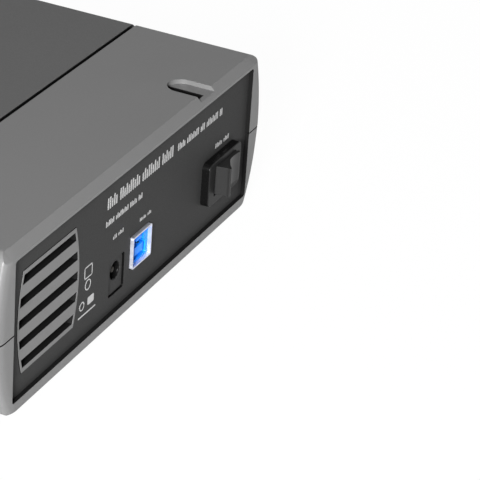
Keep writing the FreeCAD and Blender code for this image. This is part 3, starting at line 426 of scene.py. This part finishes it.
# Painted shade: inside, in its grooves and on the walls of its rear opening, the shell is
# near-black for the shade that falls there, and so are the walls of the vent's slots.
painted_shade_abs = moulded(
    "painted_shade_abs_dark", "#121212", 0.6, grain_mm=0.35, depth_mm=0.010, tone=0.05,
    specular=0.06,
)
# Painted shade: a near-black gloss for the walls of windows, holes and gaps in deep shade, and
# for the shaded side walls of the switch's frame.
painted_shade_black = moulded(
    "painted_shade_nylon_black", "#0a0a0a", 0.3, grain_mm=0.3, depth_mm=0.003, tone=0.05,
    specular=0.1,
)
# Screen printing ink: matt, a little rough, pale grey.
print_ink = moulded(
    "screen_print_ink_pale_grey", "#a2a2a2", 0.6, grain_mm=0.15, depth_mm=0.004, tone=0.03,
    specular=0.2,
)
# Painted shade: the pin is dark brown-grey for the shade of its hole, so it hardly shows there.
painted_shade_pin = metal("painted_shade_brass_pin", "#3d3b38", 0.6, STAMPED, 0.3, 0.002)

slot_of_node = {part["node"]: part["material_slot"] for part in frame["record"]["subparts"]}
finish_of_node = {node: finishes[slot] for node, slot in slot_of_node.items()}
# The power socket is moulded in the panel's plastic.
finish_of_node["dc_socket_body"] = finishes["panel_black"]
finish_of_node["dc_socket_pin"] = painted_shade_pin
for node_name, shown in frame["nodes"].items():
    shown.data.materials.clear()
    shown.data.materials.append(finish_of_node[node_name])


# Skins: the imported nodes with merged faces, rounded edges and smooth curves

# Edge rounding of each skin, in mm.
roundings = {
    "top_cover": 0.25, "top_inlay": 0.15, "bottom_cover": 0.25, "rear_panel": 0.15,
    "vent_grille": 0.3, "front_bezel": 0.25, "switch_housing": 0.15, "switch_rocker": 0.25,
    "usb_socket_shell": 0.12, "usb_socket_insert": 0.12, "dc_socket_body": 0.15,
    "drive_tray": 0.15, "fan_frame": 0.2, "fan_rotor": 0.12,
}
SKIN_MERGE = 0.003 * MM
FLAT_WITHIN = math.radians(0.4)
EDGE_ANGLE = math.radians(30.0)
EDGE_SEGMENTS = 2
AREA_WEIGHT = 100
CUT_DISTANCE = 1e-7

# The soft fall of the rear rim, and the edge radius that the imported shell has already.
RIM_WIDTH = 4.2 * MM
RIM_DROP = 1.6 * MM
RIM_RADIUS = 1.2 * MM
# Nothing further ahead of the rear face, or nearer to the middle, moves.
RIM_FADE = 5.0 * MM
RIM_INNER = 73.0 * MM
# Faces that are divided look rearwards at least this much, and lie this close to the rear.
RIM_FACING = 0.3
RIM_REACH = 3.0 * MM
# The lines that divide them. The upright ones are counted from the opening's edge, and none falls
# on that edge or on the seam, where it would leave slivers.
OPENING_HALF = 76.2 * MM
RIM_STEP = 0.5 * MM
RIM_LINES_IN = 7
RIM_LINES_OUT = 18
RIM_FIRST_LEVEL = 3.4 * MM
RIM_LEVEL = 2.0 * MM
RIM_LEVELS = 27

# The finger scoop in the top keeps the shell's grey, though it is deeper than where painted shade
# begins elsewhere: its box, a little grown. The pocket in its floor gets painted shade, for the
# shadow along the scoop's near wall.
SCOOP_LOW = (-50.0 * MM, PANEL_Y - 14.5 * MM, cad_high.z - 1.7 * MM)
SCOOP_HIGH = (-39.0 * MM, PANEL_Y + 2.0 * MM, cad_high.z + 0.1 * MM)
SCOOP_FLOOR_FACING = 0.9
POCKET_X = -44.8 * MM
POCKET_Y = PANEL_Y - 1.2 * MM
POCKET_DEPTH = 0.6 * MM

INSERT_SEAT = 0.55 * MM
INSERT_FRONT = 0.1 * MM

# Depth under a piece's hull where painted shade begins, and the tests for other painted shade.
SHADE_DEPTH = 0.12 * MM
JOINT_FACING = 0.7
GAP_FACING = 0.7
FRONT_FACING = 0.5
FRONT_DEPTH = 0.2 * MM


def side_wall():
    """Half width of the shell at each height, from the outline of its two halves."""
    points = [
        (abs(v.co.x), v.co.z)
        for name in ("top_cover", "bottom_cover") for v in frame["nodes"][name].data.vertices
    ]
    outline = sorted({points[i] for i in convex_hull_2d(points)}, key=lambda point: point[1])
    return [point for point in outline if point[0] > RIM_INNER]


shell_outline = side_wall()


def wall_at(z):
    """Half width of the shell at one height."""
    for (x0, z0), (x1, z1) in zip(shell_outline, shell_outline[1:]):
        if z0 <= z <= z1:
            return x0 + (x1 - x0) * (z - z0) / max(z1 - z0, 1e-9)
    return shell_outline[-1][0] if z > shell_outline[-1][1] else shell_outline[0][0]


def front_of(piece):
    """How far to the rear of the enclosure a piece reaches."""
    return max(v.co.y for v in piece.data.vertices)


def divide(mesh, faces, axis, place):
    """Cuts these faces where the axis has this value."""
    parts = dict.fromkeys(faces)
    for face in faces:
        parts.update(dict.fromkeys(face.edges))
        parts.update(dict.fromkeys(face.verts))
    origin = Vector((0, 0, 0))
    origin[axis] = place
    normal = Vector((0, 0, 0))
    normal[axis] = 1.0
    bmesh.ops.bisect_plane(
        mesh, geom=list(parts), dist=CUT_DISTANCE, plane_co=origin, plane_no=normal
    )


def rim_faces(mesh):
    return [
        f for f in mesh.faces
        if f.normal.y > RIM_FACING and f.calc_center_median().y > SHELL_REAR - RIM_REACH
        and max(abs(v.co.x) for v in f.verts) > RIM_INNER
    ]


def soften_rear_rim(piece):
    """The rear face of each shell half falls away softly towards the side walls, over the last
    few millimetres before its rounded edge. The face is divided first, so that it can bend."""
    mesh = bmesh.new()
    mesh.from_mesh(piece.data)
    steps = [i for i in range(-RIM_LINES_IN, RIM_LINES_OUT) if i]
    for side in (-1, 1):
        for i in steps:
            divide(mesh, rim_faces(mesh), 0, side * (OPENING_HALF + i * RIM_STEP))
    for i in range(RIM_LEVELS):
        divide(mesh, rim_faces(mesh), 2, RIM_FIRST_LEVEL + i * RIM_LEVEL)
    for vertex in mesh.verts:
        behind = SHELL_REAR - vertex.co.y
        share = min(max((RIM_FADE - behind) / (RIM_FADE - RIM_RADIUS), 0.0), 1.0)
        inward = max(wall_at(vertex.co.z) - abs(vertex.co.x), 0.0)
        if share > 0 and inward < RIM_WIDTH:
            # The soft curve is a quarter of an ellipse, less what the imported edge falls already.
            soft = RIM_DROP * (1 - math.sqrt(1 - (1 - inward / RIM_WIDTH) ** 2))
            near = min(inward, RIM_RADIUS)
            hard = RIM_RADIUS - math.sqrt(RIM_RADIUS ** 2 - (RIM_RADIUS - near) ** 2)
            vertex.co.y -= share * max(soft - hard, 0.0)
    mesh.to_mesh(piece.data)
    mesh.free()


def in_scoop(point):
    return all(low < value < high for low, value, high in zip(SCOOP_LOW, point, SCOOP_HIGH))


def scoop_floor(mesh):
    return [
        f for f in mesh.faces
        if in_scoop(f.calc_center_median()) and f.normal.z > SCOOP_FLOOR_FACING
    ]


def shape_top(piece):
    """The upper half also has a deeper pocket along the near side of its finger scoop."""
    soften_rear_rim(piece)
    mesh = bmesh.new()
    mesh.from_mesh(piece.data)
    divide(mesh, scoop_floor(mesh), 0, POCKET_X)
    divide(mesh, scoop_floor(mesh), 1, POCKET_Y)
    pocket = [
        f for f in scoop_floor(mesh)
        if f.calc_center_median().x > POCKET_X and f.calc_center_median().y < POCKET_Y
    ]
    grown = bmesh.ops.extrude_face_region(mesh, geom=pocket)
    deeper = [v for v in grown["geom"] if isinstance(v, bmesh.types.BMVert)]
    bmesh.ops.translate(mesh, verts=deeper, vec=(0, 0, -POCKET_DEPTH))
    bmesh.ops.delete(mesh, geom=pocket, context="FACES")
    mesh.to_mesh(piece.data)
    mesh.free()


def seat_insert(piece):
    """The socket's block stands a little further in, so that the shell's bright wall shows."""
    front = front_of(piece)
    for vertex in piece.data.vertices:
        if vertex.co.y > front - INSERT_FRONT:
            vertex.co.y -= INSERT_SEAT


shapes = {
    "top_cover": shape_top, "bottom_cover": soften_rear_rim, "usb_socket_insert": seat_insert,
}


def skin(name, rounding_mm, shape):
    """A copy of a node's mesh stands for it, so that its edges can be rounded and its curves
    shaded smoothly. Its outline stays as it is."""
    source = frame["nodes"][name]
    piece = bpy.data.objects.new(name + "_skin", source.data.copy())
    bpy.context.scene.collection.objects.link(piece)
    alone(piece)
    bpy.ops.object.mode_set(mode="EDIT")
    bpy.ops.mesh.select_all(action="SELECT")
    bpy.ops.mesh.remove_doubles(threshold=SKIN_MERGE)
    bpy.ops.mesh.dissolve_limited(angle_limit=FLAT_WITHIN)
    bpy.ops.object.mode_set(mode="OBJECT")
    if shape:
        shape(piece)
    apply_modifier(
        piece, "BEVEL", width=rounding_mm * MM, segments=EDGE_SEGMENTS, limit_method="ANGLE",
        angle_limit=EDGE_ANGLE, miter_outer="MITER_ARC", use_clamp_overlap=True,
    )
    alone(piece)
    bpy.ops.object.shade_smooth_by_angle(angle=EDGE_ANGLE)
    # Large flat faces keep their own direction; only the rounded edges between them turn.
    apply_modifier(
        piece, "WEIGHTED_NORMAL", mode="FACE_AREA", weight=AREA_WEIGHT, keep_sharp=True
    )
    return dress(piece, finish_of_node[name], body_of_node[name], slot_of_node[name], name)


def repaint(piece, material, wanted):
    """Gives a second finish to the faces that the test picks."""
    piece.data.materials.append(material)
    for face in piece.data.polygons:
        if wanted(face):
            face.material_index = 1


def paint_shade_inside(piece):
    """Faces further under the piece's hull than a set depth get painted shade, for the shade that
    falls in grooves, slots and openings, and so does the joint on which the upper half rests."""
    hull = bmesh.new()
    for vertex in piece.data.vertices:
        hull.verts.new(vertex.co)
    bmesh.ops.convex_hull(hull, input=list(hull.verts), use_existing_faces=False)
    outside = BVHTree.FromBMesh(hull)
    hull.free()

    def wanted(face):
        depth = outside.find_nearest(face.center)[3]
        on_joint = piece.name.startswith("bottom") and face.normal.z > JOINT_FACING
        return on_joint or (depth > SHADE_DEPTH and not in_scoop(face.center))

    repaint(piece, painted_shade_abs, wanted)


for node_name, rounding in roundings.items():
    made = skin(node_name, rounding, shapes.get(node_name))
    if node_name in ("top_cover", "bottom_cover", "vent_grille"):
        # Painted shade in the shells' grooves, inner walls and scoop pocket, and in the vent's
        # slots.
        paint_shade_inside(made)
    elif node_name in ("rear_panel", "dc_socket_body"):
        # Walls of the windows and of the power socket's hole are in deep shade on the real one,
        # and get painted shade.
        front = front_of(made)
        repaint(made, painted_shade_black, lambda face: face.center.y < front - FRONT_DEPTH)
    elif node_name == "top_inlay":
        # Its rear edge is one wall of the black gap, painted near-black as shade.
        repaint(made, painted_shade_black, lambda face: face.normal.y > GAP_FACING)
    elif node_name == "switch_housing":
        # Its front is textured; its side walls get painted shade, near-black.
        repaint(made, painted_shade_black, lambda face: face.normal.y < FRONT_FACING)


# Print on the rear panel, in mm: it stands where the real panel has lettering and marks

INK = 0.03 * MM
# A plane and a circle look up, and this turns them to look along +Y.
TO_REAR = (-math.pi / 2, 0, 0)
CORNER_SEGMENTS = 3
# The most that a corner may take of a bar's shorter side.
CORNER_SHARE = 0.49
RING_SIDES = 40
RING_WIDTH = 0.4
STROKE_SHARE = 0.56
STROKE_CORNER = 0.15
# A low stroke's height as a share of a tall one's.
LOW_STROKE = 0.74
# Each row: x of its start and end, z of its low and high edge, stroke pitch and group lengths.
stroke_rows = [
    (19.8, -24.3, 42.5, 46.4, 1.30, (5, 10, 9, 7)),
    (-25.9, -57.7, 42.9, 45.4, 1.05, (5, 8, 3, 8, 5)),
    (20.4, -3.75, 36.9, 38.8, 0.90, (6, 9, 5, 6)),
    (15.4, 7.9, 30.6, 32.0, 0.85, (3, 4)),
    (-1.9, -10.1, 28.9, 30.1, 0.85, (5, 4)),
    (-53.6, -64.9, 32.1, 33.8, 1.0, (5, 4)),
]
# Generic marks. Each bar: its two x, its two z and its corner radius. They are a line, the four
# sides of a square frame and a square with rounded corners. Each ring: x, z and radius.
line_bar = (35.8, 25.2, 13.0, 13.5, 0.2)
frame_bars = [
    (32.8, 27.9, 28.7, 29.1, 0.1), (32.8, 27.9, 25.0, 25.4, 0.1),
    (32.8, 32.4, 25.0, 29.1, 0.1), (28.3, 27.9, 25.0, 29.1, 0.1),
]
rings = [(30.4, 22.6, 1.8), (33.7, 16.7, 1.5)]
square_bar = (30.2, 26.4, 15.4, 18.0, 0.5)


def thicken(piece):
    """Gives a flat print its thickness."""
    bpy.ops.mesh.extrude_region_move(TRANSFORM_OT_translate={"value": (0, INK, 0)})
    bpy.ops.object.mode_set(mode="OBJECT")
    return outward(piece)


def ink_bar(x0, x1, z0, z1, corner):
    """One printed bar with rounded corners."""
    centre = ((x0 + x1) / 2 * MM, PANEL_Y, (z0 + z1) / 2 * MM)
    bpy.ops.object.select_all(action="DESELECT")
    bpy.ops.mesh.primitive_plane_add(size=1.0, location=centre, rotation=TO_REAR)
    bar = bpy.context.active_object
    bar.scale = (abs(x1 - x0) * MM, abs(z1 - z0) * MM, 1.0)
    settle(bar)
    reach = min(abs(x1 - x0), abs(z1 - z0)) * CORNER_SHARE
    bpy.ops.object.mode_set(mode="EDIT")
    bpy.ops.mesh.select_all(action="SELECT")
    bpy.ops.mesh.bevel(
        offset=min(corner, reach) * MM, segments=CORNER_SEGMENTS, affect="VERTICES"
    )
    return thicken(bar)


def ink_ring(x, z, radius):
    """One printed ring: a disc with its middle cut out."""
    bpy.ops.object.select_all(action="DESELECT")
    bpy.ops.mesh.primitive_circle_add(
        vertices=RING_SIDES, radius=radius * MM, fill_type="NGON",
        location=(x * MM, PANEL_Y, z * MM), rotation=TO_REAR,
    )
    ring = settle(bpy.context.active_object)
    bpy.ops.object.mode_set(mode="EDIT")
    bpy.ops.mesh.select_all(action="SELECT")
    bpy.ops.mesh.inset(thickness=RING_WIDTH * MM)
    bpy.ops.mesh.delete(type="FACE")
    bpy.ops.mesh.select_all(action="SELECT")
    return thicken(ring)


def stroke_row(x0, x1, z0, z1, pitch, words):
    """Strokes of two heights, in groups as long as words are, that spell nothing. The row runs
    from x0 towards -X."""
    strokes = []
    place = 0
    for word in words:
        for index in range(word):
            x = x0 - (place + index) * pitch
            if x - pitch < x1:
                return strokes
            tall = (index * 2 + word) % 5 < 3
            top = z1 if tall else z0 + (z1 - z0) * LOW_STROKE
            strokes.append(ink_bar(x, x - pitch * STROKE_SHARE, z0, top, STROKE_CORNER))
        place += word + 1
    return strokes


printed = []
for row in stroke_rows:
    printed.extend(stroke_row(*row))
for bar in (line_bar, *frame_bars):
    printed.append(ink_bar(*bar))
for ring in rings:
    printed.append(ink_ring(*ring))
printed.append(ink_bar(*square_bar))
panel_print = join(printed, "panel_print")
dress(panel_print, print_ink, "enclosure", "panel_black")


# Camera, floor and light

# Where the photo's camera stood, its direction and its focal length, fitted to the photo's edges.
CAMERA_AT = Vector((0.58714, PANEL_Y + 0.29059, 0.37915))
CAMERA_YAW = -2.73009
CAMERA_PITCH = -0.49467
CAMERA_ROLL = 0.07442
FOCAL_PIXELS = 2449.86
FRAME_PIXELS = 480
SENSOR = 36.0
CLIP_NEAR = 0.01
CLIP_FAR = 50.0

WHITE = (1, 1, 1, 1)
FLOOR_SIZE = 12.0
FLOOR_GREY = "#e9e9e9"
FLOOR_ROUGHNESS = 0.9
# The share of the floor's look that is plain white. The rest is its own, with the shadow.
FLOOR_WHITE = 0.975
WORLD_LIGHT = 0.08
# Sine of the elevations between which the white walls give way to the dark ceiling.
CEILING = (0.15, 0.6)
# Each lamp: its name, its place, its size and its power in watts. All look at the origin.
lamps = [
    ("key_lamp", (1.15, 0.45, 0.50), 0.25, 50.0),
    ("top_lamp", (-0.2, -0.2, 1.6), 1.2, 4.6),
]


def make_camera():
    ahead = Vector((
        math.cos(CAMERA_PITCH) * math.cos(CAMERA_YAW),
        math.cos(CAMERA_PITCH) * math.sin(CAMERA_YAW),
        math.sin(CAMERA_PITCH),
    ))
    level = ahead.cross(Vector((0, 0, 1))).normalized()
    above = level.cross(ahead)
    right = math.cos(CAMERA_ROLL) * level + math.sin(CAMERA_ROLL) * above
    up = -math.sin(CAMERA_ROLL) * level + math.cos(CAMERA_ROLL) * above
    camera = bpy.data.objects.new("camera", bpy.data.cameras.new("camera"))
    bpy.context.scene.collection.objects.link(camera)
    turned = Matrix((right, up, -ahead)).transposed().to_4x4()
    camera.matrix_world = Matrix.Translation(CAMERA_AT) @ turned
    camera.data.sensor_width = SENSOR
    camera.data.lens = FOCAL_PIXELS / FRAME_PIXELS * SENSOR
    camera.data.clip_start = CLIP_NEAR
    camera.data.clip_end = CLIP_FAR
    bpy.context.scene.camera = camera


def make_floor():
    """A plain pale floor. It is white to the eye and in reflections, with a part of the lit floor
    kept for the shadow."""
    bpy.ops.object.select_all(action="DESELECT")
    bpy.ops.mesh.primitive_plane_add(size=FLOOR_SIZE, location=(0, 0, 0))
    floor = bpy.context.active_object
    floor.name = "floor"
    material, tree, shader, _ = start("white_paper_floor")
    shader.inputs["Base Color"].default_value = srgb(FLOOR_GREY)
    shader.inputs["Roughness"].default_value = FLOOR_ROUGHNESS
    shader.inputs["Specular IOR Level"].default_value = 0.0
    path = add(tree, "ShaderNodeLightPath")
    seen = add(
        tree, "ShaderNodeMath", [("operation", "MAXIMUM")],
        [(0, path.outputs["Is Camera Ray"]), (1, path.outputs["Is Glossy Ray"])],
    ).outputs[0]
    seen = add(
        tree, "ShaderNodeMath", [("operation", "MAXIMUM")],
        [(0, seen), (1, path.outputs["Is Transmission Ray"])],
    ).outputs[0]
    share = add(
        tree, "ShaderNodeMath", [("operation", "MULTIPLY"), (1, FLOOR_WHITE)], [(0, seen)]
    ).outputs[0]
    glow = add(tree, "ShaderNodeEmission", [("Color", WHITE), ("Strength", 1.0)])
    mixed = add(
        tree, "ShaderNodeMixShader", (),
        [(0, share), (1, shader.outputs["BSDF"]), (2, glow.outputs["Emission"])],
    ).outputs[0]
    output = next(n for n in tree.nodes if n.type == "OUTPUT_MATERIAL")
    tree.links.new(mixed, output.inputs["Surface"])
    floor.data.materials.append(material)


def make_world():
    """Soft even light. The eye sees white all round, and gloss sees the white up to where a
    studio's unlit ceiling begins."""
    world = bpy.data.worlds.new("studio")
    bpy.context.scene.world = world
    world.use_nodes = True
    tree = world.node_tree
    tree.nodes.clear()
    path = add(tree, "ShaderNodeLightPath")
    towards = add(tree, "ShaderNodeTexCoord").outputs["Generated"]
    height = add(tree, "ShaderNodeSeparateXYZ", (), [(0, towards)]).outputs["Z"]
    below_ceiling = add(
        tree, "ShaderNodeMapRange",
        [("From Min", CEILING[0]), ("From Max", CEILING[1]), ("To Min", 1.0), ("To Max", 0.0)],
        [("Value", height)],
    ).outputs["Result"]
    bounced = add(
        tree, "ShaderNodeMath", [("operation", "MAXIMUM")],
        [(0, path.outputs["Is Glossy Ray"]), (1, path.outputs["Is Transmission Ray"])],
    ).outputs[0]
    bounced = add(
        tree, "ShaderNodeMath", [("operation", "MULTIPLY")], [(0, bounced), (1, below_ceiling)]
    ).outputs[0]
    seen = add(
        tree, "ShaderNodeMath", [("operation", "MAXIMUM")],
        [(0, path.outputs["Is Camera Ray"]), (1, bounced)],
    ).outputs[0]
    soft = add(tree, "ShaderNodeBackground", [("Color", WHITE), ("Strength", WORLD_LIGHT)])
    white = add(tree, "ShaderNodeBackground", [("Color", WHITE), ("Strength", 1.0)])
    mixed = add(
        tree, "ShaderNodeMixShader", (), [(0, seen), (1, soft.outputs[0]), (2, white.outputs[0])]
    ).outputs[0]
    add(tree, "ShaderNodeOutputWorld", (), [("Surface", mixed)])


def make_lamp(name, at, size, watts):
    lamp = bpy.data.objects.new(name, bpy.data.lights.new(name, "AREA"))
    bpy.context.scene.collection.objects.link(lamp)
    lamp.data.shape = "SQUARE"
    lamp.data.size = size
    lamp.data.energy = watts
    lamp.location = at
    lamp.rotation_mode = "QUATERNION"
    lamp.rotation_quaternion = (-Vector(at)).to_track_quat("-Z", "Y")


make_camera()
make_floor()
make_world()
for lamp_settings in lamps:
    make_lamp(*lamp_settings)
bpy.context.scene.view_settings.view_transform = "Standard"
